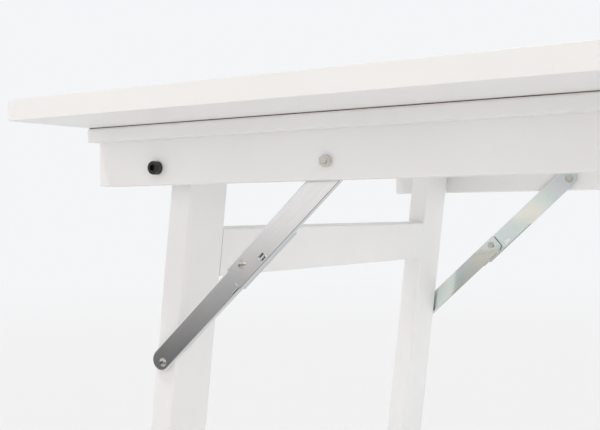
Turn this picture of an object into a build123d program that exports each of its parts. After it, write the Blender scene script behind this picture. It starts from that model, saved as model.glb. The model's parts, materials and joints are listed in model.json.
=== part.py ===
"""Folding table: a flat top on two long rails, with a leg frame that folds up at each end.

Frame: millimetres, X along the table, Y across it, +Z up, origin on the floor under the middle of the top.
Near a corner, three distances place everything:
    reach  how far a point lies in from the table's end, along X
    drop   how far it lies below the underside of the top, along Z
    depth  how far it lies in from the outer face of the rail, along Y
"""
from build123d import *
from math import acos, atan2, cos, hypot, radians, sin, sqrt
import os

os.makedirs("parts", exist_ok=True)

# ---------------------------------------------------------------- driving dimensions
TABLE_LENGTH = 1800
TABLE_WIDTH = 900
TABLE_HEIGHT = 740

TOP_THICKNESS = 20
EDGE_BAND = 1.5
EDGE_ROUND = 0.8
CORNER_ROUND = 1.4

RAIL_INSET = 119  # from the long edge of the top to the outer face of the rail
RAIL_THICKNESS = 26
RAIL_HEIGHT = 44
RAIL_ROUND = 1.5
BATTEN_THICKNESS = 14.5
BATTEN_OVERHANG = 17  # how far the flat batten stands out past each face of its rail
BATTEN_ROUND = 3.5
BATTEN_LOWER_ROUND = 0.8
CROSS_BATTEN_WIDTH = 45
CROSS_BATTEN_REACH = 62
DOWEL_DIAMETER = 8
RAIL_DOWEL_COUNT = 7
RAIL_DOWEL_SPACING = 270
RAIL_DOWEL_LENGTH = 30
RAIL_DOWEL_START = 4  # depth of the dowel's upper end inside the batten

LEG_THICKNESS = 26  # seen from the side of the table
LEG_WIDTH = 60  # across the table
LEG_LEAN = 7  # degrees, feet towards the table's end
LEG_DEPTH = 37.5
LEG_HEAD = 19  # how far the leg reaches past its pivot
LEG_HEAD_ROUND = 9
LEG_ROUND = 2
STRETCHER_HEIGHT = 51
STRETCHER_THICKNESS = 22
UPPER_STRETCHER_START = 60  # distances from the pivot, down the leg
LOWER_STRETCHER_START = 517
STRETCHER_DOWEL_LENGTH = 44
STRETCHER_DOWEL_SPACING = 26
GLIDE_THICKNESS = 4
GLIDE_SIZE = (21, 50)
GLIDE_ROUND = 4
GLIDE_EDGE_ROUND = 1

PIVOT_REACH = 78  # leg pivot
PIVOT_DROP = 42
STAY_REACH = 274  # stay pivot on the rail
UPPER_ARM_REACH = 148.7  # stay pivot to knee
LOWER_ARM_REACH = 146.7  # knee to the screw on the leg

ARM_SHEET = 2
ARM_BEND_ROUND = 1.6  # outside of the bend between an arm's web and its rim
ARM_WIDTH = 26
ARM_OFFSET = 2.5  # the arms' middle line lies this far above the line through their end pivots
LOWER_ARM_WIDTH = 23.4
LOWER_ARM_SHIFT = 1  # the lower arm's middle line above the upper arm's, clear of its rim
UPPER_WEB_DEPTH = 28.6
LOWER_WEB_DEPTH = 32.4
UPPER_RIM_DEPTH = 36.2
UPPER_RIM_START = 84  # from the stay pivot, where the rim gets its full depth
SHALLOW_RIM = 0.8
LOWER_RIM_DEPTH = 37.2
ARM_TAIL = 17.6  # how far the upper arm reaches past the knee
LOWER_ARM_HEAD = 11  # from the knee to the straight end of the lower arm
LUG_SIZE = (9, 2.4)
LUG_DEPTH = 29.8
DIMPLE_RADIUS = 2.2
DIMPLE_HEIGHT = 1.6
DIMPLE_ACROSS = 5
WINDOW_SIZE = (8.5, 6.5)
WINDOW_BACK = 22  # window's middle, from the knee towards the stay pivot
WINDOW_MARGIN = 3.5  # from the window to the rimmed edge of the arm
WINDOW_ROUND = 1.8

PIVOT_SCREW = 8
PIVOT_HEAD = (13, 8)
PIVOT_HEAD_ROUND = 0.8
PIVOT_SOCKET = (6, 4)
PIVOT_SCREW_LENGTH = 60
INSERT_DIAMETER = 12
INSERT_LENGTH = 25
SPACER_DIAMETER = 18
SCREW_CLEARANCE = 0.4  # wider than the screw, where a screw only passes through
TURNING_CLEARANCE = 0.12  # wider than the pin, where a piece turns on it
SIDE_CLEARANCE = 0.2  # between turning faces
HEAD_CLEARANCE = 0.05

STAY_BOLT = 6
STAY_BOLT_PROUD = 6.9
STAY_BOLT_CHAMFER = 0.8
STAY_BOLT_FLANGE = (12, 0.35)
STAY_NUT = (10, 5)
WASHER_DIAMETER = 16

RIVET_DIAMETER = 6
RIVET_DOME = (9.6, 2.2)
RIVET_TAIL = (9, 1.8)
RIVET_COLLAR = 11

LEG_SCREW = 6
LEG_SCREW_HEAD = (9, 1.2)
LEG_SCREW_SOCKET = (3.4, 0.8)
LEG_WASHER_DIAMETER = 11.6
LEG_SCREW_LENGTH = 35

WOOD_SCREW = 4
WOOD_SCREW_HEAD = 8
WOOD_SCREW_LENGTH = 28
WOOD_SCREW_SLOT = (5, 1, 0.9)
WOOD_SCREW_HEAD_DEPTH = 2
WOOD_SCREW_COUNT = 9
WOOD_SCREW_SPACING = 200
CROSS_SCREW_SPACING = 240

# ---------------------------------------------------------------- derived places
UNDERSIDE = TABLE_HEIGHT - TOP_THICKNESS
HALF_LENGTH = TABLE_LENGTH / 2
RAIL_Y = TABLE_WIDTH / 2 - RAIL_INSET
RAIL_TOP = UNDERSIDE - BATTEN_THICKNESS
ENDS = {"left": -1, "right": 1}
SIDES = {"front": -1, "rear": 1}
CORNERS = [(end, side) for end in ENDS for side in SIDES]

LEAN = radians(LEG_LEAN)
PIVOT = (PIVOT_REACH, PIVOT_DROP)
STAY_PIVOT = (STAY_REACH, PIVOT_DROP)
LEG_LENGTH = (UNDERSIDE - PIVOT_DROP - GLIDE_THICKNESS) / cos(LEAN)
# With this distance the folded arms lie flat along the rail.
LEG_SCREW_DISTANCE = STAY_REACH - PIVOT_REACH + UPPER_ARM_REACH - LOWER_ARM_REACH


def down_the_leg(distance, inward=0.0):
    """Point in (reach, drop) on the leg: distance from the pivot, inward from the middle line."""
    reach = PIVOT_REACH - distance * sin(LEAN) + inward * cos(LEAN)
    drop = PIVOT_DROP + distance * cos(LEAN) + inward * sin(LEAN)
    return reach, drop


LEG_SCREW_POINT = down_the_leg(LEG_SCREW_DISTANCE)


def knee_point():
    """The knee, from the two arm lengths: it lies above the line through the arms' ends."""
    run = LEG_SCREW_POINT[0] - STAY_PIVOT[0]
    fall = LEG_SCREW_POINT[1] - STAY_PIVOT[1]
    span = hypot(run, fall)
    opening = acos((UPPER_ARM_REACH**2 + span**2 - LOWER_ARM_REACH**2) / (2 * UPPER_ARM_REACH * span))
    heading = atan2(fall, run) + opening
    return (
        STAY_PIVOT[0] + UPPER_ARM_REACH * cos(heading),
        STAY_PIVOT[1] + UPPER_ARM_REACH * sin(heading),
    )


KNEE = knee_point()
STAY_SPAN = hypot(STAY_PIVOT[0] - LEG_SCREW_POINT[0], STAY_PIVOT[1] - LEG_SCREW_POINT[1])
# Unit vectors of the stay in (reach, drop): down along it, and square to it towards the table's middle.
STAY_ALONG = (
    (LEG_SCREW_POINT[0] - STAY_PIVOT[0]) / STAY_SPAN,
    (LEG_SCREW_POINT[1] - STAY_PIVOT[1]) / STAY_SPAN,
)
STAY_ACROSS = (STAY_ALONG[1], -STAY_ALONG[0])
KNEE_ALONG = (KNEE[0] - STAY_PIVOT[0]) * STAY_ALONG[0] + (KNEE[1] - STAY_PIVOT[1]) * STAY_ALONG[1]
KNEE_STEP = (KNEE[0] - STAY_PIVOT[0]) * STAY_ACROSS[0] + (KNEE[1] - STAY_PIVOT[1]) * STAY_ACROSS[1]
KNEE_ACROSS = KNEE_STEP + ARM_OFFSET


def on_stay(along, across):
    """Point in (reach, drop) on the locked stay: along it from the rail pivot, across from its middle."""
    side_step = across - ARM_OFFSET
    return (
        STAY_PIVOT[0] + along * STAY_ALONG[0] + side_step * STAY_ACROSS[0],
        STAY_PIVOT[1] + along * STAY_ALONG[1] + side_step * STAY_ACROSS[1],
    )


def place(point, end):
    """(reach, drop) near one end of the table as X and Z."""
    reach, drop = point
    return ENDS[end] * (HALF_LENGTH - reach), UNDERSIDE - drop


def across(depth, side):
    """Y of a depth behind the rail's outer face."""
    return SIDES[side] * (RAIL_Y - depth)


def side_plane(depth, side):
    """Upright sketch plane across which the side view is drawn: local x is X, local y is Z."""
    return Plane(origin=(0, across(depth, side), 0), x_dir=(1, 0, 0), z_dir=(0, -1, 0))


def inward(side):
    """Direction from the outer face of a rail towards the middle of the table."""
    return (0, -SIDES[side], 0)


def disc(point, end, side, diameter, start, finish, mode=Mode.ADD):
    """Round solid across the table, from one depth to another."""
    with BuildSketch(side_plane(start, side)) as profile:
        with Locations(place(point, end)):
            Circle(diameter / 2)
    extrude(profile.sketch, amount=finish - start, dir=inward(side), mode=mode)


def hexagon(point, end, side, width, start, finish, mode=Mode.ADD):
    """Six-sided solid across the table, width over its flats."""
    with BuildSketch(side_plane(start, side)) as profile:
        with Locations(place(point, end)):
            RegularPolygon(width / 2, 6, major_radius=False, rotation=30)
    extrude(profile.sketch, amount=finish - start, dir=inward(side), mode=mode)


def dome(point, end, side, diameter, height, base, mode=Mode.ADD):
    """Domed button that stands out from a depth towards the rail."""
    radius = (diameter**2 / 4 + height**2) / (2 * height)
    x, z = place(point, end)
    outward = SIDES[side]
    half = diameter / 4
    shoulder = outward * (height - radius + sqrt(radius**2 - half**2))
    with BuildSketch(Plane(origin=(x, across(base, side), z), x_dir=(1, 0, 0), z_dir=(0, 0, 1))) as profile:
        with BuildLine():
            Line((0, 0), (diameter / 2, 0))
            ThreePointArc((diameter / 2, 0), (half, shoulder), (0, outward * height))
            Line((0, outward * height), (0, 0))
        make_face()
    revolve(profile.sketch, axis=Axis((x, 0, z), (0, 1, 0)), mode=mode)


def stay_strip(end, side, along, across_range, start, finish, mode=Mode.ADD):
    """Straight-edged stretch of an arm, between two places along it, two across it and two depths."""
    corners = [
        place(on_stay(along[i], across_range[j]), end)
        for i, j in ((0, 0), (1, 0), (1, 1), (0, 1))
    ]
    with BuildSketch(side_plane(start, side)) as profile:
        Polygon(*corners, align=None)
    extrude(profile.sketch, amount=finish - start, dir=inward(side), mode=mode)


def spot_on_arm(end, side, along, offset, depth):
    """Point in space on an arm, to find an edge by."""
    x, z = place(on_stay(along, offset), end)
    return Vector(x, across(depth, side), z)


def wood_screw(x, y, mode=Mode.ADD):
    """Countersunk screw, driven up from the underside of a batten."""
    shank = WOOD_SCREW / 2
    rim = WOOD_SCREW_HEAD / 2
    with BuildSketch(Plane(origin=(x, y, RAIL_TOP), x_dir=(1, 0, 0), z_dir=(0, -1, 0))) as profile:
        Polygon(
            (0, 0),
            (rim, 0),
            (shank, WOOD_SCREW_HEAD_DEPTH),
            (shank, WOOD_SCREW_LENGTH),
            (0, WOOD_SCREW_LENGTH),
            align=None,
        )
    revolve(profile.sketch, axis=Axis((x, y, 0), (0, 0, 1)), mode=mode)


def keep(piece, name):
    """Label a finished piece and write it out."""
    piece.part.label = name
    export_step(piece.part, f"parts/{name}.step")


# ---------------------------------------------------------------- top, battens and rails
BATTEN_WIDTH = RAIL_THICKNESS + 2 * BATTEN_OVERHANG
BATTEN_Y = RAIL_Y - RAIL_THICKNESS / 2
BATTEN_SCREW_Y = RAIL_Y - RAIL_THICKNESS - BATTEN_OVERHANG / 2
CROSS_LENGTH = 2 * (BATTEN_Y - BATTEN_WIDTH / 2)
CROSS_X = [-HALF_LENGTH + CROSS_BATTEN_REACH, 0, HALF_LENGTH - CROSS_BATTEN_REACH]
SCREW_COLUMNS = [(i - (WOOD_SCREW_COUNT - 1) / 2) * WOOD_SCREW_SPACING for i in range(WOOD_SCREW_COUNT)]
LONG_BATTEN_SCREWS = [(x, s * BATTEN_SCREW_Y) for s in SIDES.values() for x in SCREW_COLUMNS]
CROSS_BATTEN_SCREWS = [(x, i * CROSS_SCREW_SPACING) for x in CROSS_X for i in (-1, 0, 1)]
BITE = WOOD_SCREW_LENGTH - BATTEN_THICKNESS  # how far a wood screw reaches into the top
RAIL_DOWEL_X = [(i - (RAIL_DOWEL_COUNT - 1) / 2) * RAIL_DOWEL_SPACING for i in range(RAIL_DOWEL_COUNT)]
DOWEL_BITE = RAIL_DOWEL_LENGTH - (BATTEN_THICKNESS - RAIL_DOWEL_START)

with BuildPart() as table_top:
    with BuildSketch(Plane.XY.offset(UNDERSIDE)):
        Rectangle(TABLE_LENGTH - 2 * EDGE_BAND, TABLE_WIDTH - 2 * EDGE_BAND)
    extrude(amount=TOP_THICKNESS)
    with BuildSketch(Plane.XY.offset(UNDERSIDE)):
        with Locations(*LONG_BATTEN_SCREWS, *CROSS_BATTEN_SCREWS):
            Circle(WOOD_SCREW / 2)
    extrude(amount=BITE, mode=Mode.SUBTRACT)
keep(table_top, "table_top")

# Each strip: middle in X and Y, length in X and Y. The long strips cover the ends of the short ones.
BAND_X = HALF_LENGTH - EDGE_BAND / 2
BAND_Y = (TABLE_WIDTH - EDGE_BAND) / 2
SHORT_BAND = TABLE_WIDTH - 2 * EDGE_BAND
EDGE_STRIPS = {
    "front": (0, -BAND_Y, TABLE_LENGTH, EDGE_BAND),
    "rear": (0, BAND_Y, TABLE_LENGTH, EDGE_BAND),
    "left": (-BAND_X, 0, EDGE_BAND, SHORT_BAND),
    "right": (BAND_X, 0, EDGE_BAND, SHORT_BAND),
}

for name, (x, y, length, width) in EDGE_STRIPS.items():
    with BuildPart() as edge_band:
        with BuildSketch(Plane.XY.offset(UNDERSIDE)):
            RectangleRounded(TABLE_LENGTH, TABLE_WIDTH, CORNER_ROUND)
        extrude(amount=TOP_THICKNESS)
        slab_faces = edge_band.faces().sort_by(Axis.Z)
        fillet(slab_faces[0].edges() + slab_faces[-1].edges(), EDGE_ROUND)
        with BuildSketch(Plane.XY.offset(UNDERSIDE)):
            with Locations((x, y)):
                Rectangle(length, width)
        extrude(amount=TOP_THICKNESS, mode=Mode.INTERSECT)
    keep(edge_band, f"{name}_edge_band")

for side, sign in SIDES.items():
    with BuildPart() as batten:
        with BuildSketch(Plane.XY.offset(RAIL_TOP)):
            with Locations((0, sign * BATTEN_Y)):
                Rectangle(TABLE_LENGTH, BATTEN_WIDTH)
        extrude(amount=BATTEN_THICKNESS)
        fillet(batten.faces().sort_by(Axis.Z)[-1].edges(), BATTEN_ROUND)
        fillet(batten.faces().sort_by(Axis.Z)[0].edges(), BATTEN_LOWER_ROUND)
        for x, y in LONG_BATTEN_SCREWS:
            if y * sign > 0:
                wood_screw(x, y, mode=Mode.SUBTRACT)
        with BuildSketch(Plane.XY.offset(RAIL_TOP)):
            with Locations(*[(x, sign * BATTEN_Y) for x in RAIL_DOWEL_X]):
                Circle(DOWEL_DIAMETER / 2)
        extrude(amount=BATTEN_THICKNESS - RAIL_DOWEL_START, mode=Mode.SUBTRACT)
    keep(batten, f"{side}_batten")

    with BuildPart() as rail:
        with BuildSketch(Plane.XY.offset(RAIL_TOP - RAIL_HEIGHT)):
            with Locations((0, sign * BATTEN_Y)):
                Rectangle(TABLE_LENGTH, RAIL_THICKNESS)
        extrude(amount=RAIL_HEIGHT)
        fillet(rail.faces().sort_by(Axis.Z)[0].edges(), RAIL_ROUND)
        for end in ENDS:
            disc(PIVOT, end, side, PIVOT_SCREW + SCREW_CLEARANCE, 0, RAIL_THICKNESS, Mode.SUBTRACT)
            disc(STAY_PIVOT, end, side, STAY_BOLT + SCREW_CLEARANCE, 0, RAIL_THICKNESS, Mode.SUBTRACT)
        with BuildSketch(Plane.XY.offset(RAIL_TOP)):
            with Locations(*[(x, sign * BATTEN_Y) for x in RAIL_DOWEL_X]):
                Circle(DOWEL_DIAMETER / 2)
        extrude(amount=-DOWEL_BITE, mode=Mode.SUBTRACT)
    keep(rail, f"{side}_rail")

for name, x in zip(("left", "middle", "right"), CROSS_X):
    with BuildPart() as cross_batten:
        with BuildSketch(Plane.XY.offset(RAIL_TOP)):
            with Locations((x, 0)):
                Rectangle(CROSS_BATTEN_WIDTH, CROSS_LENGTH)
        extrude(amount=BATTEN_THICKNESS)
        fillet(cross_batten.edges().filter_by(Axis.Y).group_by(Axis.Z)[0], BATTEN_LOWER_ROUND)
        for screw_x, screw_y in CROSS_BATTEN_SCREWS:
            if screw_x == x:
                wood_screw(screw_x, screw_y, mode=Mode.SUBTRACT)
    keep(cross_batten, f"{name}_cross_batten")

with BuildPart() as batten_screws:
    slot_length, slot_width, slot_depth = WOOD_SCREW_SLOT
    for x, y in LONG_BATTEN_SCREWS + CROSS_BATTEN_SCREWS:
        wood_screw(x, y)
    with BuildSketch(Plane.XY.offset(RAIL_TOP)):
        with Locations(*LONG_BATTEN_SCREWS, *CROSS_BATTEN_SCREWS):
            Rectangle(slot_length, slot_width)
            Rectangle(slot_width, slot_length)
    extrude(amount=slot_depth, mode=Mode.SUBTRACT)
keep(batten_screws, "batten_screws")

with BuildPart() as rail_dowels:
    with BuildSketch(Plane.XY.offset(UNDERSIDE - RAIL_DOWEL_START)):
        with Locations(*[(x, sign * BATTEN_Y) for sign in SIDES.values() for x in RAIL_DOWEL_X]):
            Circle(DOWEL_DIAMETER / 2)
    extrude(amount=-RAIL_DOWEL_LENGTH)
keep(rail_dowels, "rail_dowels")

# ---------------------------------------------------------------- pivots in the rails
with BuildPart() as leg_pivot_screws:
    head_width, head_height = PIVOT_HEAD
    socket_width, socket_depth = PIVOT_SOCKET
    for end, side in CORNERS:
        disc(PIVOT, end, side, head_width, -head_height, 0)
        disc(PIVOT, end, side, PIVOT_SCREW, 0, PIVOT_SCREW_LENGTH)
    circles = leg_pivot_screws.edges().filter_by(GeomType.CIRCLE)
    head_rims = [e for e in circles if abs(abs(e.center().Y) - RAIL_Y - head_height) < SIDE_CLEARANCE]
    fillet(head_rims, PIVOT_HEAD_ROUND)
    for end, side in CORNERS:
        hexagon(PIVOT, end, side, socket_width, -head_height, socket_depth - head_height, Mode.SUBTRACT)
keep(leg_pivot_screws, "leg_pivot_screws")

with BuildPart() as pivot_spacers:
    for end, side in CORNERS:
        reach_in = LEG_DEPTH - SIDE_CLEARANCE
        disc(PIVOT, end, side, SPACER_DIAMETER, RAIL_THICKNESS, reach_in)
        disc(PIVOT, end, side, PIVOT_SCREW + SCREW_CLEARANCE, RAIL_THICKNESS, reach_in, Mode.SUBTRACT)
keep(pivot_spacers, "pivot_spacers")

with BuildPart() as stay_bolts:
    flange_width, flange_thickness = STAY_BOLT_FLANGE
    flange_start = UPPER_WEB_DEPTH + ARM_SHEET + HEAD_CLEARANCE
    for end, side in CORNERS:
        disc(STAY_PIVOT, end, side, STAY_BOLT, -STAY_BOLT_PROUD, flange_start)
        disc(STAY_PIVOT, end, side, flange_width, flange_start, flange_start + flange_thickness)
    bolt_rims = stay_bolts.edges().filter_by(GeomType.CIRCLE)
    chamfer([e for e in bolt_rims if abs(e.center().Y) > RAIL_Y + STAY_BOLT_PROUD / 2], STAY_BOLT_CHAMFER)
keep(stay_bolts, "stay_bolts")

with BuildPart() as stay_nuts:
    nut_width, nut_height = STAY_NUT
    for end, side in CORNERS:
        hexagon(STAY_PIVOT, end, side, nut_width, -nut_height, 0)
    for end, side in CORNERS:
        disc(STAY_PIVOT, end, side, STAY_BOLT, -nut_height, 0, Mode.SUBTRACT)
keep(stay_nuts, "stay_nuts")

with BuildPart() as stay_washers:
    washer_end = UPPER_WEB_DEPTH - SIDE_CLEARANCE
    for end, side in CORNERS:
        disc(STAY_PIVOT, end, side, WASHER_DIAMETER, RAIL_THICKNESS, washer_end)
        disc(STAY_PIVOT, end, side, STAY_BOLT + SCREW_CLEARANCE, RAIL_THICKNESS, washer_end, Mode.SUBTRACT)
keep(stay_washers, "stay_washers")

# ---------------------------------------------------------------- leg frames
LEG_INNER_DEPTH = LEG_DEPTH + LEG_WIDTH
STRETCHER_LENGTH = 2 * (RAIL_Y - LEG_INNER_DEPTH)
STRETCHER_STARTS = {"upper": UPPER_STRETCHER_START, "lower": LOWER_STRETCHER_START}
STRETCHER_OUTER = LEG_THICKNESS / 2 - STRETCHER_THICKNESS
DOWEL_INWARD = LEG_THICKNESS / 2 - STRETCHER_THICKNESS / 2
DOWEL_HALF = STRETCHER_DOWEL_LENGTH / 2


def dowel_points(starts):
    """Dowel middles in (reach, drop) for the stretchers that start at the given distances."""
    middles = [start + STRETCHER_HEIGHT / 2 for start in starts]
    steps = (-STRETCHER_DOWEL_SPACING / 2, STRETCHER_DOWEL_SPACING / 2)
    return [down_the_leg(middle + step, DOWEL_INWARD) for middle in middles for step in steps]


def leg_outline():
    """Side view of a leg: square to its length at the head, level at the foot."""
    half = LEG_THICKNESS / 2
    fall = UNDERSIDE - GLIDE_THICKNESS - PIVOT_DROP
    return [
        down_the_leg(-LEG_HEAD, -half),
        down_the_leg(-LEG_HEAD, half),
        down_the_leg((fall - half * sin(LEAN)) / cos(LEAN), half),
        down_the_leg((fall + half * sin(LEAN)) / cos(LEAN), -half),
    ]


for end in ENDS:
    for side in SIDES:
        with BuildPart() as leg:
            with BuildSketch(side_plane(LEG_DEPTH, side)) as outline:
                Polygon(*[place(point, end) for point in leg_outline()], align=None)
                fillet(outline.vertices().sort_by(Axis.Y)[-2:], LEG_HEAD_ROUND)
            extrude(outline.sketch, amount=LEG_WIDTH, dir=inward(side))
            fillet([e for e in leg.edges() if e.length > LEG_LENGTH / 2], LEG_ROUND)
            insert_end = LEG_DEPTH + INSERT_LENGTH
            disc(PIVOT, end, side, INSERT_DIAMETER, LEG_DEPTH, insert_end, Mode.SUBTRACT)
            anchor_end = LEG_DEPTH + LEG_SCREW_LENGTH
            disc(LEG_SCREW_POINT, end, side, LEG_SCREW, LEG_DEPTH, anchor_end, Mode.SUBTRACT)
            for point in dowel_points(STRETCHER_STARTS.values()):
                start = LEG_INNER_DEPTH - DOWEL_HALF
                disc(point, end, side, DOWEL_DIAMETER, start, LEG_INNER_DEPTH, Mode.SUBTRACT)
        keep(leg, f"{end}_{side}_leg")

    for name, start in STRETCHER_STARTS.items():
        with BuildPart() as stretcher:
            corners = [
                down_the_leg(start, STRETCHER_OUTER),
                down_the_leg(start, LEG_THICKNESS / 2),
                down_the_leg(start + STRETCHER_HEIGHT, LEG_THICKNESS / 2),
                down_the_leg(start + STRETCHER_HEIGHT, STRETCHER_OUTER),
            ]
            with BuildSketch(side_plane(LEG_INNER_DEPTH, "front")) as outline:
                Polygon(*[place(point, end) for point in corners], align=None)
            extrude(outline.sketch, amount=STRETCHER_LENGTH, dir=inward("front"))
            fillet(stretcher.edges().filter_by(Axis.Y), LEG_ROUND)
            for side in SIDES:
                for point in dowel_points([start]):
                    finish = LEG_INNER_DEPTH + DOWEL_HALF
                    disc(point, end, side, DOWEL_DIAMETER, LEG_INNER_DEPTH, finish, Mode.SUBTRACT)
        keep(stretcher, f"{end}_{name}_stretcher")

    with BuildPart() as stretcher_dowels:
        for side in SIDES:
            for point in dowel_points(STRETCHER_STARTS.values()):
                start = LEG_INNER_DEPTH - DOWEL_HALF
                disc(point, end, side, DOWEL_DIAMETER, start, start + STRETCHER_DOWEL_LENGTH)
    keep(stretcher_dowels, f"{end}_stretcher_dowels")

    with BuildPart() as leg_inserts:
        for side in SIDES:
            insert_end = LEG_DEPTH + INSERT_LENGTH
            disc(PIVOT, end, side, INSERT_DIAMETER, LEG_DEPTH, insert_end)
            disc(PIVOT, end, side, PIVOT_SCREW + TURNING_CLEARANCE, LEG_DEPTH, insert_end, Mode.SUBTRACT)
    keep(leg_inserts, f"{end}_leg_inserts")

    with BuildPart() as stay_anchors:
        for side in SIDES:
            disc(LEG_SCREW_POINT, end, side, LEG_SCREW, LEG_DEPTH, LEG_DEPTH + LEG_SCREW_LENGTH)
    keep(stay_anchors, f"{end}_stay_anchors")

    with BuildPart() as foot_glides:
        foot_x = place(down_the_leg(LEG_LENGTH), end)[0]
        with BuildSketch(Plane.XY):
            with Locations(*[(foot_x, across(LEG_DEPTH + LEG_WIDTH / 2, side)) for side in SIDES]):
                RectangleRounded(*GLIDE_SIZE, GLIDE_ROUND)
        extrude(amount=GLIDE_THICKNESS)
        fillet(foot_glides.edges().group_by(Axis.Z)[0], GLIDE_EDGE_ROUND)
    keep(foot_glides, f"{end}_foot_glides")

# ---------------------------------------------------------------- folding stays
ARM_HALF = ARM_WIDTH / 2
LOWER_HALF = LOWER_ARM_WIDTH / 2
UPPER_WEB_BACK = UPPER_WEB_DEPTH + ARM_SHEET
LOWER_WEB_BACK = LOWER_WEB_DEPTH + ARM_SHEET
TAIL_END = KNEE_ALONG + ARM_TAIL
HEAD_START = KNEE_ALONG - LOWER_ARM_HEAD
LOWER_EDGES = (-LOWER_ARM_SHIFT - LOWER_HALF, -LOWER_ARM_SHIFT + LOWER_HALF)
# The lower arm's head turns inside the rim of the upper arm, so it keeps to this radius about the knee.
HEAD_SWEEP = LOWER_EDGES[1] - KNEE_ACROSS
WINDOW_MIDDLE = KNEE_ALONG - WINDOW_BACK
WINDOW_ALONG = (WINDOW_MIDDLE - WINDOW_SIZE[0] / 2, WINDOW_MIDDLE + WINDOW_SIZE[0] / 2)
WINDOW_ACROSS = (ARM_HALF - WINDOW_MARGIN - WINDOW_SIZE[1], ARM_HALF - WINDOW_MARGIN)

for end, side in CORNERS:
    corner = f"{end}_{side}"

    with BuildPart() as upper_arm:
        stay_strip(end, side, (0, TAIL_END), (-ARM_HALF, ARM_HALF), UPPER_WEB_DEPTH, UPPER_WEB_BACK)
        disc(on_stay(0, 0), end, side, ARM_WIDTH, UPPER_WEB_DEPTH, UPPER_WEB_BACK)
        rim_edges = (ARM_HALF - ARM_SHEET, ARM_HALF)
        stay_strip(end, side, (0, UPPER_RIM_START), rim_edges, UPPER_WEB_BACK, UPPER_WEB_BACK + SHALLOW_RIM)
        stay_strip(end, side, (UPPER_RIM_START, TAIL_END), rim_edges, UPPER_WEB_BACK, UPPER_RIM_DEPTH)
        bend = spot_on_arm(end, side, UPPER_RIM_START, ARM_HALF, UPPER_WEB_DEPTH)
        fillet(upper_arm.edges().sort_by_distance(bend)[0], ARM_BEND_ROUND)
        stay_strip(end, side, WINDOW_ALONG, WINDOW_ACROSS, UPPER_WEB_DEPTH, UPPER_WEB_BACK, Mode.SUBTRACT)
        window = spot_on_arm(end, side, sum(WINDOW_ALONG) / 2, sum(WINDOW_ACROSS) / 2, UPPER_WEB_DEPTH)
        fillet(upper_arm.edges().filter_by(Axis.Y).sort_by_distance(window)[:4], WINDOW_ROUND)
        pivot_hole = STAY_BOLT + TURNING_CLEARANCE
        disc(STAY_PIVOT, end, side, pivot_hole, UPPER_WEB_DEPTH, UPPER_WEB_BACK, Mode.SUBTRACT)
        disc(KNEE, end, side, RIVET_DIAMETER, UPPER_WEB_DEPTH, UPPER_WEB_BACK, Mode.SUBTRACT)
    keep(upper_arm, f"{corner}_upper_arm")

    with BuildPart() as knee_rivet:
        dome_width, dome_height = RIVET_DOME
        tail_width, tail_height = RIVET_TAIL
        tail_start = LOWER_WEB_BACK + HEAD_CLEARANCE
        dome(KNEE, end, side, dome_width, dome_height, UPPER_WEB_DEPTH)
        disc(KNEE, end, side, RIVET_DIAMETER, UPPER_WEB_DEPTH, tail_start)
        disc(KNEE, end, side, RIVET_COLLAR, UPPER_WEB_BACK, LOWER_WEB_DEPTH - SIDE_CLEARANCE)
        disc(KNEE, end, side, tail_width, tail_start, tail_start + tail_height)
    keep(knee_rivet, f"{corner}_knee_rivet")

    with BuildPart() as lower_arm:
        stay_strip(end, side, (HEAD_START, KNEE_ALONG), LOWER_EDGES, LOWER_WEB_DEPTH, LOWER_WEB_BACK)
        disc(KNEE, end, side, 2 * HEAD_SWEEP, LOWER_WEB_DEPTH, LOWER_WEB_BACK, Mode.INTERSECT)
        stay_strip(end, side, (KNEE_ALONG, STAY_SPAN), LOWER_EDGES, LOWER_WEB_DEPTH, LOWER_WEB_BACK)
        foot = on_stay(STAY_SPAN, -LOWER_ARM_SHIFT)
        disc(foot, end, side, LOWER_ARM_WIDTH, LOWER_WEB_DEPTH, LOWER_WEB_BACK)
        rim_edges = (LOWER_EDGES[1] - ARM_SHEET, LOWER_EDGES[1])
        stay_strip(end, side, (KNEE_ALONG, STAY_SPAN), rim_edges, LOWER_WEB_BACK, LOWER_RIM_DEPTH)
        bend = spot_on_arm(end, side, (KNEE_ALONG + STAY_SPAN) / 2, LOWER_EDGES[1], LOWER_WEB_DEPTH)
        fillet(lower_arm.edges().sort_by_distance(bend)[0], ARM_BEND_ROUND)
        lug_start = TAIL_END + DIMPLE_RADIUS
        lug_along = (lug_start, lug_start + LUG_SIZE[0])
        lug_across = (LOWER_EDGES[1] - LUG_SIZE[1], LOWER_EDGES[1])
        stay_strip(end, side, lug_along, lug_across, LUG_DEPTH, LOWER_WEB_BACK)
        dimple = on_stay(TAIL_END + DIMPLE_RADIUS + HEAD_CLEARANCE, DIMPLE_ACROSS)
        dome(dimple, end, side, 2 * DIMPLE_RADIUS, DIMPLE_HEIGHT, LOWER_WEB_DEPTH)
        knee_hole = RIVET_DIAMETER + TURNING_CLEARANCE
        disc(KNEE, end, side, knee_hole, LOWER_WEB_DEPTH, LOWER_WEB_BACK, Mode.SUBTRACT)
        disc(LEG_SCREW_POINT, end, side, LEG_SCREW, LOWER_WEB_DEPTH, LOWER_WEB_BACK, Mode.SUBTRACT)
    keep(lower_arm, f"{corner}_lower_arm")

    with BuildPart() as leg_screw:
        head_width, head_height = LEG_SCREW_HEAD
        socket_width, socket_depth = LEG_SCREW_SOCKET
        screw_end = LEG_DEPTH - SIDE_CLEARANCE
        dome(LEG_SCREW_POINT, end, side, head_width, head_height, LOWER_WEB_DEPTH)
        disc(LEG_SCREW_POINT, end, side, LEG_SCREW, LOWER_WEB_DEPTH, screw_end)
        socket_start = LOWER_WEB_DEPTH - head_height
        socket_end = socket_start + socket_depth
        hexagon(LEG_SCREW_POINT, end, side, socket_width, socket_start, socket_end, Mode.SUBTRACT)
    keep(leg_screw, f"{corner}_leg_screw")

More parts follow.
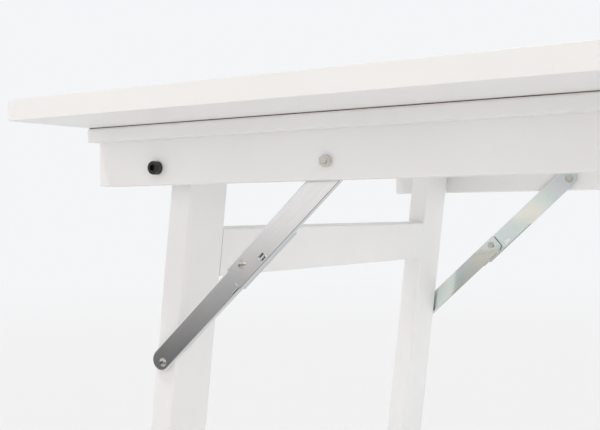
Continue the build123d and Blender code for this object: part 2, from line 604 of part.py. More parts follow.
    with BuildPart() as leg_washer:
        disc(LEG_SCREW_POINT, end, side, LEG_WASHER_DIAMETER, LOWER_WEB_BACK, screw_end)
        disc(LEG_SCREW_POINT, end, side, LEG_SCREW, LOWER_WEB_BACK, screw_end, Mode.SUBTRACT)
    keep(leg_washer, f"{corner}_leg_washer")
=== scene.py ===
"""Looks for the folding table: materials, small pieces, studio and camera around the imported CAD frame.

Metres, in the frame of the CAD model: X along the table, Y across it, Z up from the floor.
"""
import json
import math

import bmesh
import bpy
from mathutils import Matrix, Vector


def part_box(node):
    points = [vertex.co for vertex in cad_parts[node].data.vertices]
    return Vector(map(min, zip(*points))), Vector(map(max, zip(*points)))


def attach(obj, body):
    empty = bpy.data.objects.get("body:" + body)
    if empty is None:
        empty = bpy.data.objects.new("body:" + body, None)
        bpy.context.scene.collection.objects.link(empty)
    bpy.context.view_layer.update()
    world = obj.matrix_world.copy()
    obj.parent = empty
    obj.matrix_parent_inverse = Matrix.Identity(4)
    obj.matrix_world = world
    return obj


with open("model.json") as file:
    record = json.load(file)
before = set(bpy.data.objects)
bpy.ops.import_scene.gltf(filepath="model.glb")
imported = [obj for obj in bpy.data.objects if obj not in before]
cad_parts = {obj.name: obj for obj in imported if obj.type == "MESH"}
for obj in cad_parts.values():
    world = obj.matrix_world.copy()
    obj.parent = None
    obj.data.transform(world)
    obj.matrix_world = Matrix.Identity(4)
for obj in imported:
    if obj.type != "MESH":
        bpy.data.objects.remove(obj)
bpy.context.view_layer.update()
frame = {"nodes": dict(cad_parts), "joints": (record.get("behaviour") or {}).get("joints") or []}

MM = 0.001
JOINTS = {joint["name"]: joint for joint in frame["joints"]}
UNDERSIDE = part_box("table_top")[0].z
BATTEN_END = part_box("front_batten")[0].x
RAIL_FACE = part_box("front_rail")[0].y
ENDS = {"left": -1, "right": 1}
SIDES = {"front": -1, "rear": 1}
CORNERS = [(end, side) for end in ENDS for side in SIDES]

# ---------------------------------------------------------------- camera
# From the left end of the front batten, the outer face of the front rail and the floor, in metres.
CAMERA_PLACE = (0.7507, -0.758, 0.6317)
CAMERA_YAW = 33.69  # degrees, from looking along +Y towards -X
CAMERA_PITCH = -0.06  # degrees
CAMERA_ROLL = -0.5  # degrees
CAMERA_LENS = 61.38  # mm
CAMERA_SENSOR = 36.0  # mm


def make_camera():
    """Camera just below the top's level, in front of the long side and turned towards the left end."""
    yaw, pitch, roll = (math.radians(angle) for angle in (CAMERA_YAW, CAMERA_PITCH, CAMERA_ROLL))
    forward = Vector(
        (-math.sin(yaw) * math.cos(pitch), math.cos(yaw) * math.cos(pitch), math.sin(pitch))
    )
    level = Vector((math.cos(yaw), math.sin(yaw), 0))
    upright = level.cross(forward)
    right = math.cos(roll) * level + math.sin(roll) * upright
    up = math.cos(roll) * upright - math.sin(roll) * level
    data = bpy.data.cameras.new("camera")
    data.lens = CAMERA_LENS
    data.sensor_width = CAMERA_SENSOR
    camera = bpy.data.objects.new("camera", data)
    turn = Matrix((right, up, -forward)).transposed().to_4x4()
    reach, depth, height = CAMERA_PLACE
    camera.matrix_world = Matrix.Translation((BATTEN_END + reach, RAIL_FACE + depth, height)) @ turn
    bpy.context.scene.collection.objects.link(camera)
    bpy.context.scene.camera = camera


# ---------------------------------------------------------------- node helpers
# The band in which nearly all of a noise texture's values lie.
NOISE_LOW = 0.3
NOISE_HIGH = 0.7


class Nodes:
    """Short way to build a node tree."""

    def __init__(self, tree):
        self.tree = tree
        tree.nodes.clear()

    def add(self, kind, **properties):
        node = self.tree.nodes.new(kind)
        for key, value in properties.items():
            setattr(node, key, value)
        return node

    def link(self, source, target):
        self.tree.links.new(source, target)

    def stretched(self, scale=(1, 1, 1), turn=(0, 0, 0)):
        """Coordinates of the piece itself, turned and then scaled along each axis."""
        place = self.add("ShaderNodeTexCoord")
        turned = self.add("ShaderNodeMapping")
        turned.inputs["Rotation"].default_value = turn
        scaled = self.add("ShaderNodeMapping")
        scaled.inputs["Scale"].default_value = scale
        self.link(place.outputs["Object"], turned.inputs["Vector"])
        self.link(turned.outputs["Vector"], scaled.inputs["Vector"])
        return scaled.outputs["Vector"]

    def noise(self, vector, scale, detail, roughness=0.5):
        node = self.add("ShaderNodeTexNoise")
        node.inputs["Scale"].default_value = scale
        node.inputs["Detail"].default_value = detail
        node.inputs["Roughness"].default_value = roughness
        self.link(vector, node.inputs["Vector"])
        return node.outputs["Fac"]

    def ramp(self, factor, stops):
        """Colour or grey along a factor; stops are (place, colour)."""
        node = self.add("ShaderNodeValToRGB")
        ramp = node.color_ramp
        while len(ramp.elements) < len(stops):
            ramp.elements.new(0.5)
        for element, (place, colour) in zip(ramp.elements, stops):
            element.position = place
            element.color = (*colour, 1)
        self.link(factor, node.inputs["Fac"])
        return node.outputs["Color"]

    def toned(self, noise, tones):
        """Colour between a dark and a light tone, over the band of a noise texture."""
        return self.ramp(noise, list(zip((NOISE_LOW, NOISE_HIGH), tones)))

    def graded(self, value, source=(0.0, 1.0), target=(0.0, 1.0), kind="SMOOTHSTEP"):
        """The source range of a value turned into the target range."""
        node = self.add("ShaderNodeMapRange", interpolation_type=kind)
        node.inputs["From Min"].default_value, node.inputs["From Max"].default_value = source
        node.inputs["To Min"].default_value, node.inputs["To Max"].default_value = target
        self.link(value, node.inputs["Value"])
        return node.outputs["Result"]

    def spread(self, noise, target):
        """A noise texture as numbers over the target range."""
        return self.graded(noise, (NOISE_LOW, NOISE_HIGH), target, kind="LINEAR")

    def joined(self, operation, first, second):
        """Number worked out from two others."""
        node = self.add("ShaderNodeMath", operation=operation)
        self.link(first, node.inputs[0])
        self.link(second, node.inputs[1])
        return node.outputs["Value"]

    def bump(self, height, depth, after=None):
        """Relief with a depth in mm, on top of an earlier relief if there is one."""
        node = self.add("ShaderNodeBump")
        node.inputs["Distance"].default_value = depth * MM
        self.link(height, node.inputs["Height"])
        if after is not None:
            self.link(after, node.inputs["Normal"])
        return node.outputs["Normal"]

    def dress(self, shader, colour, roughness, normal):
        """Connects the three inputs of a shader that vary over a piece."""
        self.link(colour, shader.inputs["Base Color"])
        self.link(roughness, shader.inputs["Roughness"])
        self.link(normal, shader.inputs["Normal"])


def surface(name, **fixed):
    """New material with its node helper and shader; fixed values go on the shader's own sockets."""
    material = bpy.data.materials.new(name)
    material.use_nodes = True
    nodes = Nodes(material.node_tree)
    shader = nodes.add("ShaderNodeBsdfPrincipled")
    for key, value in fixed.items():
        shader.inputs[key.replace("_", " ")].default_value = value
    output = nodes.add("ShaderNodeOutputMaterial")
    nodes.link(shader.outputs["BSDF"], output.inputs["Surface"])
    return material, nodes, shader


# ---------------------------------------------------------------- materials
# A pattern is a noise texture's scale in cycles per metre, its detail and, unless it is 0.5, its roughness.
# Tones are (dark, light), roughness is (low, high) and depths are in mm.
TOP_TONES = ((0.862, 0.860, 0.853), (0.880, 0.878, 0.872))
TOP_ROUGHNESS = (0.29, 0.32)
BAND_TONES = ((0.868, 0.862, 0.848), (0.885, 0.880, 0.868))
BAND_ROUGHNESS = (0.35, 0.38)
LAMINATE_CLOUD = (5, 3)
LAMINATE_PATCHES = (60, 2)
LAMINATE_PEEL = (420, 2)
LAMINATE_PEEL_DEPTH = 0.003


def laminate(name, tones, roughness):
    """Smooth white sheet with a faint orange peel and hardly any change of tone."""
    material, nodes, shader = surface(name, IOR=1.5)
    place = nodes.stretched()
    colour = nodes.toned(nodes.noise(place, *LAMINATE_CLOUD), tones)
    patches = nodes.noise(place, *LAMINATE_PATCHES)
    peel = nodes.bump(nodes.noise(place, *LAMINATE_PEEL), LAMINATE_PEEL_DEPTH)
    nodes.dress(shader, colour, nodes.spread(patches, roughness), peel)
    return material


LEG_LEAN = math.radians(7)
GRAIN_STRETCH = 0.05  # scale along the grain, against 1 across it


def grain_scale(along):
    """Scale that draws a pattern out along one axis."""
    return tuple(GRAIN_STRETCH if axis == along else 1.0 for axis in "XYZ")


PAINT_TONES = ((0.842, 0.837, 0.830), (0.868, 0.864, 0.858))
PAINT_ROUGHNESS = (0.34, 0.46)
PAINT_CLOUD = (9, 3)
PAINT_GRAIN = (190, 5, 0.6)
PAINT_GRAIN_DEPTH = 0.06
PAINT_STIPPLE = (900, 2)
PAINT_STIPPLE_DEPTH = 0.012


def painted_wood(name, along, lean=0.0):
    """Satin white paint over wood: the grain shows as long shallow ridges along the piece."""
    material, nodes, shader = surface(name, IOR=1.47)
    place = nodes.stretched()
    colour = nodes.toned(nodes.noise(place, *PAINT_CLOUD), PAINT_TONES)
    grain = nodes.noise(nodes.stretched(grain_scale(along), turn=(0, lean, 0)), *PAINT_GRAIN)
    brushed = nodes.bump(grain, PAINT_GRAIN_DEPTH)
    relief = nodes.bump(nodes.noise(place, *PAINT_STIPPLE), PAINT_STIPPLE_DEPTH, after=brushed)
    nodes.dress(shader, colour, nodes.spread(grain, PAINT_ROUGHNESS), relief)
    return material


STREAK_SLOPE = math.radians(41.6)  # from the level, close to the slope of the locked stays
ZINC_TONES = ((0.88, 0.905, 0.925), (0.935, 0.955, 0.97))
ZINC_ROUGHNESS = (0.12, 0.18)
ZINC_CLOUD = (24, 4)
ZINC_STREAKS = (420, 4, 0.6)
ZINC_STREAK_SCALE = (0.06, 1, 1)
ZINC_STREAK_DEPTH = 0.0015
ZINC_DENTS = (30, 2)
ZINC_DENT_DEPTH = 0.03
TINT_SHARE = 0.8
TINT_PATCHES = (17, 3)
TINT_STOPS = [
    (0.36, (0.88, 0.90, 0.92)),
    (0.46, (0.80, 0.92, 0.90)),
    (0.56, (0.84, 0.93, 0.87)),
    (0.68, (0.92, 0.92, 0.83)),
]


def zinc(name, end, inner_sign):
    """Pressed steel with a bright zinc plate, a little iridescent where it faces the table's middle."""
    material, nodes, shader = surface(name, Metallic=1.0)
    place = nodes.stretched()
    plain = nodes.toned(nodes.noise(place, *ZINC_CLOUD), ZINC_TONES)
    tinted = nodes.ramp(nodes.noise(place, *TINT_PATCHES), TINT_STOPS)
    facing = nodes.add("ShaderNodeTexCoord")
    split = nodes.add("ShaderNodeSeparateXYZ")
    nodes.link(facing.outputs["Normal"], split.inputs["Vector"])
    inner = nodes.add("ShaderNodeMath", operation="MULTIPLY", use_clamp=True)
    nodes.link(split.outputs["Y"], inner.inputs[0])
    inner.inputs[1].default_value = inner_sign * TINT_SHARE
    # A mix node keeps its colours at inputs 6 and 7 and at output 2.
    mix = nodes.add("ShaderNodeMix", data_type="RGBA")
    nodes.link(inner.outputs["Value"], mix.inputs[0])
    nodes.link(plain, mix.inputs[6])
    nodes.link(tinted, mix.inputs[7])
    along = nodes.stretched(ZINC_STREAK_SCALE, turn=(0, -ENDS[end] * STREAK_SLOPE, 0))
    streaks = nodes.noise(along, *ZINC_STREAKS)
    dents = nodes.bump(nodes.noise(place, *ZINC_DENTS), ZINC_DENT_DEPTH)
    relief = nodes.bump(streaks, ZINC_STREAK_DEPTH, after=dents)
    nodes.dress(shader, mix.outputs[2], nodes.spread(streaks, ZINC_ROUGHNESS), relief)
    return material


FASTENER_TONES = ((0.58, 0.57, 0.53), (0.80, 0.79, 0.75))
FASTENER_ROUGHNESS = (0.18, 0.34)
FASTENER_SPOTS = (90, 3)
FASTENER_MARKS = (900, 3)
FASTENER_MARK_DEPTH = 0.01


def fastener(name):
    """Bright zinc on turned and pressed fasteners, with fine marks and dull spots."""
    material, nodes, shader = surface(name, Metallic=1.0)
    place = nodes.stretched()
    spots = nodes.noise(place, *FASTENER_SPOTS)
    marks = nodes.bump(nodes.noise(place, *FASTENER_MARKS), FASTENER_MARK_DEPTH)
    nodes.dress(shader, nodes.toned(spots, FASTENER_TONES), nodes.spread(spots, FASTENER_ROUGHNESS), marks)
    return material


BLACK_TONES = ((0.004, 0.004, 0.005), (0.011, 0.010, 0.012))
BLACK_ROUGHNESS = (0.30, 0.46)
BLACK_CLOUD = (320, 4)
BLACK_GRAIN = (1500, 2)
BLACK_GRAIN_DEPTH = 0.008


def black_steel(name):
    """Black oxide with a slight oily sheen."""
    material, nodes, shader = surface(name, Metallic=0.0, IOR=1.6)
    place = nodes.stretched()
    cloud = nodes.noise(place, *BLACK_CLOUD)
    grain = nodes.bump(nodes.noise(place, *BLACK_GRAIN), BLACK_GRAIN_DEPTH)
    nodes.dress(shader, nodes.toned(cloud, BLACK_TONES), nodes.spread(cloud, BLACK_ROUGHNESS), grain)
    return material


GLIDE_TONES = ((0.62, 0.62, 0.60), (0.70, 0.70, 0.68))
SPACER_TONES = ((0.72, 0.72, 0.71), (0.78, 0.78, 0.77))
PLASTIC_ROUGHNESS = (0.45, 0.6)
PLASTIC_CLOUD = (40, 3)
PLASTIC_PATCHES = (300, 3)
PLASTIC_GRAIN = (1100, 2)
PLASTIC_GRAIN_DEPTH = 0.02


def plastic(name, tones):
    """Moulded plastic with a fine matt grain."""
    material, nodes, shader = surface(name, IOR=1.48)
    place = nodes.stretched()
    colour = nodes.toned(nodes.noise(place, *PLASTIC_CLOUD), tones)
    patches = nodes.noise(place, *PLASTIC_PATCHES)
    grain = nodes.bump(nodes.noise(place, *PLASTIC_GRAIN), PLASTIC_GRAIN_DEPTH)
    nodes.dress(shader, colour, nodes.spread(patches, PLASTIC_ROUGHNESS), grain)
    return material


DOWEL_TONES = ((0.48, 0.31, 0.18), (0.62, 0.43, 0.26))
# Seam tones: very dark brown, painted shade in the crevice where a batten's rounded edge meets the top.
SEAM_SHADE_TONES = ((0.07, 0.035, 0.02), (0.16, 0.085, 0.05))
BARE_WOOD_ROUGHNESS = (0.55, 0.75)
BARE_WOOD_GRAIN = (500, 5, 0.6)
BARE_WOOD_GRAIN_DEPTH = 0.05


def bare_wood_and_seam_shade(name, along, tones):
    """Unpainted wood: darker streaks along the grain. With the seam tones it draws painted shade in the
    batten seams.
    """
    material, nodes, shader = surface(name, IOR=1.45)
    grain = nodes.noise(nodes.stretched(grain_scale(along)), *BARE_WOOD_GRAIN)
    relief = nodes.bump(grain, BARE_WOOD_GRAIN_DEPTH)
    nodes.dress(shader, nodes.toned(grain, tones), nodes.spread(grain, BARE_WOOD_ROUGHNESS), relief)
    return material


def paint(node, material):
    """Gives a carried-over CAD node its material."""
    slots = frame["nodes"][node].material_slots
    for slot in slots:
        slot.material = material
    if not slots:
        frame["nodes"][node].data.materials.append(material)


def paint_cad_nodes():
    """Every CAD node's material, by what the piece is."""
    top = laminate("top_laminate", TOP_TONES, TOP_ROUGHNESS)
    band = laminate("edge_band_plastic", BAND_TONES, BAND_ROUGHNESS)
    wood = {along: painted_wood(f"painted_wood_{along.lower()}", along) for along in "XY"}
    for end, sign in ENDS.items():
        wood[end] = painted_wood(f"painted_wood_{end}_leg", "Z", lean=sign * LEG_LEAN)
    steel = {(end, side): zinc(f"zinc_{end}_{side}", end, -SIDES[side]) for end, side in CORNERS}
    bright = fastener("zinc_fastener")
    black = black_steel("black_oxide")
    glide = plastic("glide_plastic", GLIDE_TONES)
    spacer = plastic("spacer_plastic", SPACER_TONES)
    dowel = bare_wood_and_seam_shade("beech_dowel", "Y", DOWEL_TONES)
    for node in frame["nodes"]:
        words = node.split("_")
        if node == "table_top":
            paint(node, top)
        elif node.endswith("edge_band"):
            paint(node, band)
        elif node.endswith("dowels"):
            paint(node, dowel)
        elif node == "leg_pivot_screws":
            paint(node, black)
        elif node == "pivot_spacers":
            paint(node, spacer)
        elif node.endswith("foot_glides"):
            paint(node, glide)
        elif node.endswith("_leg"):
            paint(node, wood[words[0]])
        elif node.endswith("_arm"):
            paint(node, steel[words[0], words[1]])
        elif node.endswith(("_stretcher", "_cross_batten")):
            paint(node, wood["Y"])
        elif node.endswith(("_rail", "_batten")):
            paint(node, wood["X"])
        else:
            paint(node, bright)


# ---------------------------------------------------------------- small pieces
def mesh_piece(name, loops, material, body, closed_ring=True):
    """Skins a list of equally long point loops, one to the next, and rides on a body."""
    count = len(loops[0])
    points = [tuple(point) for loop in loops for point in loop]
    rows = len(loops)
    faces = []
    for row in range(rows if closed_ring else rows - 1):
        below = row * count
        above = (row + 1) % rows * count
        for i in range(count):
            j = (i + 1) % count
            faces.append((below + i, below + j, above + j, above + i))
    if not closed_ring:
        faces.append(tuple(reversed(range(count))))
        faces.append(tuple(range((rows - 1) * count, rows * count)))
    mesh = bpy.data.meshes.new(name)
    mesh.from_pydata(points, [], faces)
    tool = bmesh.new()
    tool.from_mesh(mesh)
    bmesh.ops.recalc_face_normals(tool, faces=tool.faces)
    tool.to_mesh(mesh)
    tool.free()
    piece = bpy.data.objects.new(name, mesh)
    bpy.context.scene.collection.objects.link(piece)
    mesh.materials.append(material)
    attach(piece, body)
    return piece


def smooth(piece):
    """Shades a piece smoothly."""
    for polygon in piece.data.polygons:
        polygon.use_smooth = True


RECTANGLE = ((-1, -1), (1, -1), (1, 1), (-1, 1))  # signs of the corners, in order round it
SEAM_PROFILE = [(1.3, 0.02), (3.6, 0.02), (2.4, 0.45), (1.35, 0.95)]  # inset and drop, in mm


def batten_seam_shade(side, material):
    """Thin dark strip where the rounded edge of a long batten meets the top: painted shade in the crevice,
    drawn with the bare-wood material.
    """
    low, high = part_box(f"{side}_batten")
    loops = []
    for x_side, y_side in RECTANGLE:
        loop = []
        for inset, drop in SEAM_PROFILE:
            x = high.x - inset * MM if x_side > 0 else low.x + inset * MM
            y = high.y - inset * MM if y_side > 0 else low.y + inset * MM
            loop.append((x, y, UNDERSIDE - drop * MM))
        loops.append(loop)
    mesh_piece(f"{side}_batten_seam_shade", loops, material, "tabletop")


KNURLS = 42
KNURL_RADII = (6.2, 6.50, 6.66)  # inner face, valley and ridge, in mm
KNURL_SPAN = (0.6, 6.6)  # from the rail's face, in mm


def knurled_band(end, side, material):
    """Band of fine ridges round the head of a leg pivot screw."""
    x, _, z = JOINTS[f"{end}_leg_fold"]["pos_m"]
    sign = SIDES[side]
    face = sign * abs(RAIL_FACE)
    inner, valley, ridge = (radius * MM for radius in KNURL_RADII)
    near, far = (face + sign * span * MM for span in KNURL_SPAN)
    edge = (ridge - valley) / 2 * sign
    sections = []
    for i in range(2 * KNURLS):
        angle = math.pi * i / KNURLS
        outer = ridge if i % 2 else valley
        profile = ((inner, near), (outer, near + edge), (outer, far - edge), (inner, far))
        sections.append([(x + r * math.cos(angle), y, z + r * math.sin(angle)) for r, y in profile])
    mesh_piece(f"{end}_{side}_screw_knurl", sections, material, "tabletop")


THREAD_PITCH = 1.0  # mm
THREAD_HALF = 0.2  # half the width of the ridge, in mm
THREAD_RADII = (2.7, 3.0, 3.07)  # inner face, root and crest, in mm
THREAD_MARGIN = 1.0  # how much shorter the thread's run is than the bolt past its nut, in mm
THREAD_STEPS = 24  # points in one turn


def bolt_thread(end, side, material):
    """The ridge of thread that shows on a stay bolt past its nut."""
    x, _, z = JOINTS[f"{end}_{side}_stay_pivot"]["pos_m"]
    sign = SIDES[side]
    start = sign * abs(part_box("stay_nuts")[0].y)
    tip = sign * abs(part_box("stay_bolts")[0].y)
    room = abs(tip - start) - THREAD_MARGIN * MM
    inner, root, crest = (radius * MM for radius in THREAD_RADII)
    steps = int(THREAD_STEPS * room / (THREAD_PITCH * MM))
    half = THREAD_HALF * MM
    sections = []
    for i in range(steps + 1):
        angle = 2 * math.pi * i / THREAD_STEPS
        y = start + sign * (half + THREAD_PITCH * MM * i / THREAD_STEPS)
        profile = ((inner, y - half), (root, y - half), (crest, y), (root, y + half), (inner, y + half))
        sections.append([(x + r * math.cos(angle), py, z + r * math.sin(angle)) for r, py in profile])
    return mesh_piece(
        f"{end}_{side}_bolt_thread", sections, material, "tabletop", closed_ring=False
    )


class Stay:
    """Places on one locked stay: along it from its rail pivot, across it, and in from an arm's outer face."""

    def __init__(self, end, side):
        self.corner = f"{end}_{side}"
        self.end = ENDS[end]
        self.side = SIDES[side]
        self.pivot = JOINTS[f"{self.corner}_stay_pivot"]["pos_m"]
        low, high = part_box(f"{self.corner}_leg_screw")
        run, fall = self.steps((low + high) / 2)
        span = math.hypot(run, fall)
        self.direction = (run / span, fall / span)
        run, fall = self.steps(JOINTS[f"{self.corner}_knee"]["pos_m"])
        self.knee = run * self.direction[0] + fall * self.direction[1]

    def steps(self, point):
        """How far a point lies towards the table's middle and down from the rail pivot."""
        return (self.pivot[0] - point[0]) * self.end, self.pivot[2] - point[2]

    def face(self, arm):
        """Y of the outer face of the upper or lower arm."""
        low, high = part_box(f"{self.corner}_{arm}_arm")
        return low.y if self.side < 0 else high.y

    def at(self, arm, from_knee, across, inward):
        """Point in space; all three distances in mm."""
        along = self.knee + from_knee * MM
        aside = (across - ARM_OFFSET) * MM
        run = along * self.direction[0] + aside * self.direction[1]
        fall = along * self.direction[1] - aside * self.direction[0]
        y = self.face(arm) - self.side * inward * MM
        return Vector((self.pivot[0] - self.end * run, y, self.pivot[2] - fall))


# Sizes on the stays are in mm: along from the knee, across, and in from an arm's outer face.
ARM_OFFSET = 2.5  # the arms' middle line from the line through their end pivots
WINDOW_MIDDLE = (-22.0, 6.25)
WINDOW_HALF = (4.25, 3.25)
WINDOW_CORNER = 1.8
CORNER_STEPS = 6
# Bead round the window: distance out from its edge, and distance in from the arm's outer face.
LIP_PROFILE = [(-0.15, 0.9), (-0.15, -0.15), (0.30, -0.50), (0.90, -0.30), (1.25, 0.15), (0.5, 0.9)]
# Plate behind the window: a sheet of painted shade, standing in for the shade inside the hole.
SHADE_PLATE_GROW = 0.1
SHADE_PLATE_DEPTH = (1.25, 1.75)
SHADE_PLATE_TILT = 0.11
TAB_HALF = (3.2, 0.75)
TAB_DEPTH = (0.5, 1.3)
LUG_ALONG = (20.0, 28.6)
LUG_ACROSS = (8.5, 10.5)
# Crown of the lug: share of its width, and distance in from the arm's outer face.
LUG_CROWN = [(0.0, 0.4), (0.0, -0.15), (0.35, -0.5), (1.0, -0.35), (1.0, 0.4)]


def stay_piece(stay, arm, name, loops, material, closed_ring=False):
    """Small steel piece that rides on one arm of a stay."""
    body = f"{stay.corner}_{arm}_stay"
    return mesh_piece(f"{stay.corner}_{name}", loops, material, body, closed_ring)


def window_point(stay, offset, inward):
    """Point at an offset from the middle of the window in an upper arm."""
    return stay.at("upper", WINDOW_MIDDLE[0] + offset[0], WINDOW_MIDDLE[1] + offset[1], inward)


def window_edge(grow):
    """Rounded outline of the window, grown outwards, as offsets along and across in mm."""
    points = []
    half_along, half_across = (half - WINDOW_CORNER for half in WINDOW_HALF)
    radius = WINDOW_CORNER + grow
    for quarter, (i, j) in enumerate(((1, 1), (-1, 1), (-1, -1), (1, -1))):
        for step in range(CORNER_STEPS + 1):
            angle = math.pi / 2 * (quarter + step / CORNER_STEPS)
            along = i * half_along + radius * math.cos(angle)
            across = j * half_across + radius * math.sin(angle)
            points.append((along, across))
    return points


def window_lip(stay, material):
    """Pressed bead round the window."""
    rings = [
        [window_point(stay, offset, inward) for offset in window_edge(grow)]
        for grow, inward in LIP_PROFILE
    ]
    smooth(stay_piece(stay, "upper", "window_lip", list(zip(*rings)), material, closed_ring=True))


def window_shade_plate(stay, material):
    """Plate behind the window, tilted outwards at its upper edge: a sheet of painted shade that stands in for
    the shade inside the hole.
    """
    height = window_point(stay, (0, 0), 0).z
    loops = []
    for depth in SHADE_PLATE_DEPTH:
        loop = [window_point(stay, offset, depth) for offset in window_edge(SHADE_PLATE_GROW)]
        for point in loop:
            point.y += stay.side * (point.z - height) * SHADE_PLATE_TILT
        loops.append(loop)
    stay_piece(stay, "upper", "window_shade_plate", loops, material)


def window_tab(stay, material):
    """Bar across the middle of the window."""
    half_along, half_across = TAB_HALF
    corners = [(i * half_along, j * half_across) for i, j in RECTANGLE]
    loops = [[window_point(stay, corner, depth) for corner in corners] for depth in TAB_DEPTH]
    stay_piece(stay, "upper", "window_tab", loops, material)


def lug_cap(stay, material):
    """Crowned outer face of the stop lug on a lower arm."""
    low, high = LUG_ACROSS
    loops = [
        [stay.at("lower", along, low + share * (high - low), inward) for share, inward in LUG_CROWN]
        for along in LUG_ALONG
    ]
    stay_piece(stay, "lower", "lug_cap", loops, material)


def make_small_pieces():
    """Pieces too fine for the CAD model."""
    # The batten seams get dark strips of painted shade, drawn with the bare-wood material.
    seam = bare_wood_and_seam_shade("seam_painted_shade", "X", SEAM_SHADE_TONES)
    black = black_steel("black_oxide_knurl")
    bright = fastener("zinc_thread")
    for side in SIDES:
        batten_seam_shade(side, seam)
    for end, side in CORNERS:
        knurled_band(end, side, black)
        smooth(bolt_thread(end, side, bright))
        stay = Stay(end, side)
        steel = bpy.data.materials[f"zinc_{end}_{side}"]
        window_lip(stay, steel)
        # Sheet of painted shade behind the window.
        window_shade_plate(stay, steel)
        window_tab(stay, steel)
        lug_cap(stay, steel)


# ---------------------------------------------------------------- studio
# Places and lengths are in metres.
BACKGROUND = (0.905, 0.915, 0.925)
FLOOR_RADIUS = 60.0
FLOOR_SEGMENTS = 96
FLOOR_FADE = (2.4, 9.0)  # distance at which the fade starts and ends
FLOOR_COLOUR = (0.88, 0.88, 0.88)
FLOOR_ROUGHNESS = 0.7


def make_floor():
    """Pale floor whose far part fades into the backdrop's brightness."""
    angles = [2 * math.pi * i / FLOOR_SEGMENTS for i in range(FLOOR_SEGMENTS)]
    points = [(FLOOR_RADIUS * math.cos(angle), FLOOR_RADIUS * math.sin(angle), 0) for angle in angles]
    mesh = bpy.data.meshes.new("floor")
    mesh.from_pydata(points, [], [tuple(range(FLOOR_SEGMENTS))])
    floor = bpy.data.objects.new("floor", mesh)
    bpy.context.scene.collection.objects.link(floor)
    material, nodes, shader = surface(
        "floor_paint", Base_Color=(*FLOOR_COLOUR, 1), Roughness=FLOOR_ROUGHNESS
    )
    place = nodes.add("ShaderNodeTexCoord")
    reach = nodes.add("ShaderNodeVectorMath", operation="LENGTH")
    nodes.link(place.outputs["Object"], reach.inputs[0])
    glow = nodes.add("ShaderNodeEmission")
    glow.inputs["Color"].default_value = (*BACKGROUND, 1)
    mix = nodes.add("ShaderNodeMixShader")
    nodes.link(nodes.graded(reach.outputs["Value"], FLOOR_FADE), mix.inputs[0])
    nodes.link(shader.outputs["BSDF"], mix.inputs[1])
    nodes.link(glow.outputs["Emission"], mix.inputs[2])
    output = next(node for node in nodes.tree.nodes if node.type == "OUTPUT_MATERIAL")
    nodes.link(mix.outputs["Shader"], output.inputs["Surface"])
    mesh.materials.append(material)
    floor.visible_glossy = False


# The sky's brightness depends on the direction's parts: X past the right end, Y to the far side, Z up.
SKY_HORIZON = 0.90
SKY_ZENITH = 0.50
SKY_END_GAIN = 1.75  # past the right end, which lights the sides of the legs
# Open side, as (Z, brightness): a dark band just below eye level.
SKY_PROFILE = [
    (-1.0, 0.70),
    (-0.45, 0.62),
    (-0.28, 0.10),
    (-0.165, 0.05),
    (-0.05, 0.52),
    (-0.015, 0.97),
    (0.1, 1.0),
]
SKY_FAR_BLEND = (-0.2, 0.2)  # Y over which the open side gives way to the far side
SKY_FAR_RISE = (-0.45, -0.10)  # Z over which the far side rises to full brightness
SKY_FAR_LOW = 0.28  # far side, below that
SKY_WARM = (1.0, 0.96, 0.94)  # open side
SKY_NEUTRAL = (0.985, 1.0, 1.02)  # far side


def sky_strength(nodes, x, y_far, z):
    """Brightness of the sky from the parts of a direction, with Y given as the share of the far side."""
    lowest, highest = SKY_PROFILE[0][0], SKY_PROFILE[-1][0]
    stops = [((height - lowest) / (highest - lowest), (tone, tone, tone)) for height, tone in SKY_PROFILE]
    open_side = nodes.ramp(nodes.graded(z, (lowest, highest), kind="LINEAR"), stops)
    far_side = nodes.joined("MULTIPLY", y_far, nodes.graded(z, SKY_FAR_RISE, (SKY_FAR_LOW, 1.0)))
    brighter = nodes.joined("MAXIMUM", open_side, far_side)
    height = nodes.graded(z, target=(SKY_HORIZON, SKY_ZENITH), kind="LINEAR")
    beyond = nodes.graded(x, target=(1.0, SKY_END_GAIN))
    return nodes.joined("MULTIPLY", brighter, nodes.joined("MULTIPLY", height, beyond))


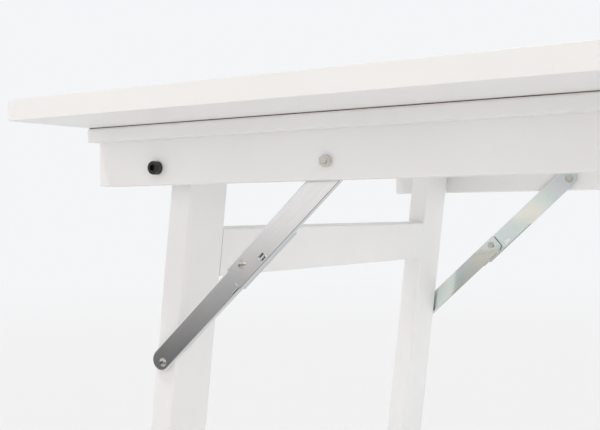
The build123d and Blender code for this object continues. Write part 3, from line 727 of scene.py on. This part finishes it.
def make_world():
    """White studio: plain to the camera, while every other ray meets a sky with a dark band."""
    world = bpy.data.worlds.new("studio")
    world.use_nodes = True
    nodes = Nodes(world.node_tree)
    place = nodes.add("ShaderNodeTexCoord")
    split = nodes.add("ShaderNodeSeparateXYZ")
    nodes.link(place.outputs["Generated"], split.inputs["Vector"])
    far = nodes.graded(split.outputs["Y"], SKY_FAR_BLEND)
    around = nodes.add("ShaderNodeBackground")
    nodes.link(nodes.ramp(far, [(0.0, SKY_WARM), (1.0, SKY_NEUTRAL)]), around.inputs["Color"])
    strength = sky_strength(nodes, split.outputs["X"], far, split.outputs["Z"])
    nodes.link(strength, around.inputs["Strength"])
    seen = nodes.add("ShaderNodeBackground")
    seen.inputs["Color"].default_value = (*BACKGROUND, 1)
    path = nodes.add("ShaderNodeLightPath")
    mix = nodes.add("ShaderNodeMixShader")
    nodes.link(path.outputs["Is Camera Ray"], mix.inputs[0])
    nodes.link(around.outputs["Background"], mix.inputs[1])
    nodes.link(seen.outputs["Background"], mix.inputs[2])
    output = nodes.add("ShaderNodeOutputWorld")
    nodes.link(mix.outputs["Shader"], output.inputs["Surface"])
    bpy.context.scene.world = world


KEY_DIRECTION = (0.27, 0.30, -1.0)
KEY_STRENGTH = 1.0
KEY_ANGLE = 9.0  # degrees
# Place, target, side of the square and power in watts.
# The fill lights the left front corner, and the bounce the far rail.
SOFT_LAMPS = {
    "fill": ((-1.5, -1.5, 0.9), (-0.85, -0.45, 0.65), 1.0, 1.1),
    "bounce": ((-0.25, -0.12, 0.36), (-0.45, 0.43, 0.62), 0.3, 0.62),
}


def make_lights():
    """High sun, and soft lamps that neither the camera nor a reflection sees."""
    key = bpy.data.lights.new("key", "SUN")
    key.energy = KEY_STRENGTH
    key.angle = math.radians(KEY_ANGLE)
    key_object = bpy.data.objects.new("key", key)
    key_object.rotation_euler = Vector(KEY_DIRECTION).to_track_quat("-Z", "Y").to_euler()
    bpy.context.scene.collection.objects.link(key_object)
    for name, (place, target, size, power) in SOFT_LAMPS.items():
        lamp = bpy.data.lights.new(name, "AREA")
        lamp.shape = "SQUARE"
        lamp.size = size
        lamp.energy = power
        lamp_object = bpy.data.objects.new(name, lamp)
        lamp_object.location = place
        aim = Vector(target) - Vector(place)
        lamp_object.rotation_euler = aim.to_track_quat("-Z", "Y").to_euler()
        lamp_object.visible_camera = False
        lamp_object.visible_glossy = False
        bpy.context.scene.collection.objects.link(lamp_object)


make_camera()
paint_cad_nodes()
make_small_pieces()
make_floor()
make_world()
make_lights()
bpy.context.scene.view_settings.view_transform = "Standard"
